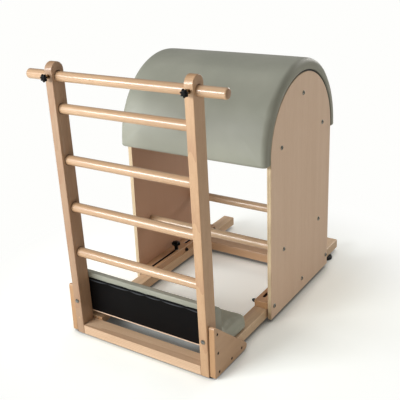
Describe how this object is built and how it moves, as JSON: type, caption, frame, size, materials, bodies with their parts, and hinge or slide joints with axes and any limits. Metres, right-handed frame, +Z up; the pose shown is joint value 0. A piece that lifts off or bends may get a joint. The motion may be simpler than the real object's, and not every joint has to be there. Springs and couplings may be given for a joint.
{
  "type": "pilates ladder barrel",
  "caption": "Wooden exercise apparatus: a leaning ladder with a sliding top rail and a padded foot rest faces a padded half-round barrel, clamped on slotted slider blocks to a base frame.",
  "frame": {"origin": "on the floor, under the middle of the whole outline, top rail and knobs included", "axes": "+Z up; +Y runs back from the ladder towards the barrel and the free ends of the base rails; +X towards the right stile seen from the ladder's front"},
  "size_m": [0.782, 1.1706, 1.0416],
  "materials": {
    "beech": "clear satin varnish over straight grained beech",
    "turned_beech": "clear gloss varnish over turned beech",
    "plywood": "satin varnished plywood, pale layered edges",
    "black_board": "thin board painted matt black",
    "vinyl": "soft grey-green vinyl over foam, fine leather grain",
    "black_cloth": "matt black dust cloth",
    "black_plastic": "moulded black plastic with a slight sheen",
    "rubber": "matt black rubber",
    "steel": "bright zinc plated steel"
  },
  "bodies": {
    "frame": {"stile_left": "beech", "stile_right": "beech", "rung_1": "turned_beech", "rung_2": "turned_beech", "rung_3": "turned_beech", "rung_4": "turned_beech", "front_beam": "beech", "rear_beam": "beech", "base_rail_left": "beech", "base_rail_right": "beech", "corner_block_left": "beech", "corner_block_right": "beech", "gusset_left": "beech", "gusset_right": "beech", "front_foot_left": "rubber", "front_foot_right": "rubber", "rear_foot_left": "rubber", "rear_foot_right": "rubber", "upright_pad_board": "plywood", "upright_pad_cushion": "vinyl", "upright_pad_cloth": "black_cloth", "flat_pad_board": "black_board", "flat_pad_cushion": "vinyl", "pad_bolt_left": "steel", "pad_bolt_right": "steel"},
    "barrel": {"panel_left": "plywood", "panel_right": "plywood", "slider_left": "beech", "slider_right": "beech", "cross_bar_1": "turned_beech", "cross_bar_2": "turned_beech", "cross_bar_3": "turned_beech", "cross_bar_4": "turned_beech", "cross_bar_5": "turned_beech", "backing_shell": "black_board", "barrel_pad": "vinyl"},
    "top_rail": {"top_rail": "turned_beech"},
    "head_washer_left": {"head_clamp_left_washer": "steel"},
    "head_knob_left": {"head_clamp_left_stud": "steel", "head_clamp_left_knob": "black_plastic"},
    "head_washer_right": {"head_clamp_right_washer": "steel"},
    "head_knob_right": {"head_clamp_right_stud": "steel", "head_clamp_right_knob": "black_plastic"},
    "slider_washer_left": {"slider_clamp_left_washer": "steel"},
    "slider_knob_left": {"slider_clamp_left_stud": "steel", "slider_clamp_left_knob": "black_plastic"},
    "slider_washer_right": {"slider_clamp_right_washer": "steel"},
    "slider_knob_right": {"slider_clamp_right_stud": "steel", "slider_clamp_right_knob": "black_plastic"}
  },
  "joints": [
    {"name": "barrel_slide", "type": "slide", "parent": "frame", "child": "barrel", "axis": [0, 1, 0], "range_m": [0, 0.182]},
    {"name": "top_rail_slide", "type": "slide", "parent": "frame", "child": "top_rail", "axis": [1, 0, 0], "range_m": [-0.095, 0.095]},
    {"name": "head_knob_left_travel", "type": "slide", "parent": "frame", "child": "head_washer_left", "axis": [0, -0.9996, -0.0279], "range_m": [0, 0.00375]},
    {"name": "head_knob_left_turn", "type": "hinge", "parent": "head_washer_left", "child": "head_knob_left", "pos_m": [-0.27465, -0.55698, 0.99577], "axis": [0, -0.9996, -0.0279], "range_deg": [0, 1080]},
    {"name": "head_knob_right_travel", "type": "slide", "parent": "frame", "child": "head_washer_right", "axis": [0, -0.9996, -0.0279], "range_m": [0, 0.00375]},
    {"name": "head_knob_right_turn", "type": "hinge", "parent": "head_washer_right", "child": "head_knob_right", "pos_m": [0.27465, -0.55698, 0.99577], "axis": [0, -0.9996, -0.0279], "range_deg": [0, 1080]},
    {"name": "slider_knob_left_travel", "type": "slide", "parent": "frame", "child": "slider_washer_left", "axis": [0, 0, 1], "range_m": [0, 0.0045]},
    {"name": "slider_knob_left_turn", "type": "hinge", "parent": "slider_washer_left", "child": "slider_knob_left", "pos_m": [-0.2625, 0.11164, 0.0789], "axis": [0, 0, 1], "range_deg": [0, 1080]},
    {"name": "slider_knob_right_travel", "type": "slide", "parent": "frame", "child": "slider_washer_right", "axis": [0, 0, 1], "range_m": [0, 0.0045]},
    {"name": "slider_knob_right_turn", "type": "hinge", "parent": "slider_washer_right", "child": "slider_knob_right", "pos_m": [0.2625, 0.11164, 0.0789], "axis": [0, 0, 1], "range_deg": [0, 1080]}
  ],
  "couplings": [
    {"joint": "head_knob_left_turn", "follows": "head_knob_left_travel", "rad_per_m": 5026.5},
    {"joint": "head_knob_right_turn", "follows": "head_knob_right_travel", "rad_per_m": 5026.5},
    {"joint": "slider_knob_left_turn", "follows": "slider_knob_left_travel", "rad_per_m": 4188.8},
    {"joint": "slider_knob_right_turn", "follows": "slider_knob_right_travel", "rad_per_m": 4188.8}
  ]
}
